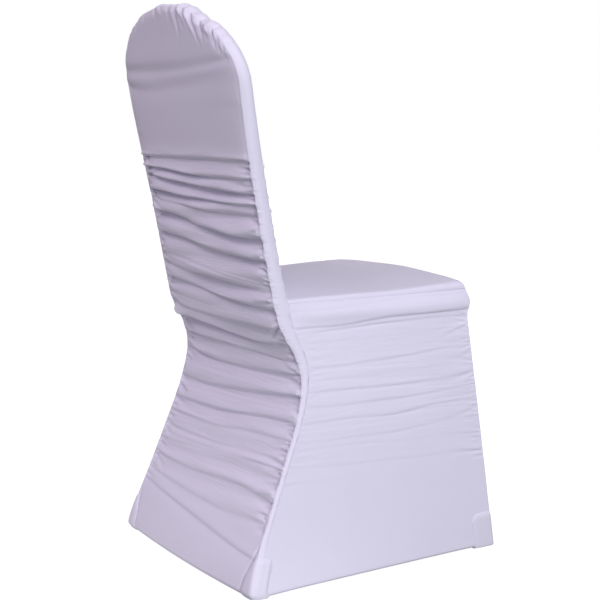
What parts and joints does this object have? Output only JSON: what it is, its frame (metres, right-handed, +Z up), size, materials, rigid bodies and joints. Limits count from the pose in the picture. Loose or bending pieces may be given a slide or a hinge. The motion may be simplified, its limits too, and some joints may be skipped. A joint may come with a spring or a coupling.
{
  "type": "chair cover",
  "caption": "Fitted stretch-cloth cover for a round-backed banquet chair: ruched back and skirt, plain edge band and seat, foot pockets at the hem.",
  "frame": {"origin": "on the floor, under the middle of the cover's overall box", "axes": "+Z up, +X towards the sitter's left, -Y the way the sitter faces"},
  "size_m": [0.4816, 0.5417, 0.9528],
  "materials": {
    "cloth": "matt stretch knit with a faint sheen",
    "pocket_cloth": "doubled matt stretch knit"
  },
  "bodies": {
    "root": {"back_panel": "cloth", "edge_band": "cloth", "front_panel": "cloth", "seat_panel": "cloth", "side_skirt_right": "cloth", "side_skirt_left": "cloth", "front_skirt": "cloth", "foot_pocket_rear_right": "pocket_cloth", "foot_pocket_rear_left": "pocket_cloth", "foot_pocket_front_right": "pocket_cloth", "foot_pocket_front_left": "pocket_cloth"}
  },
  "joints": []
}
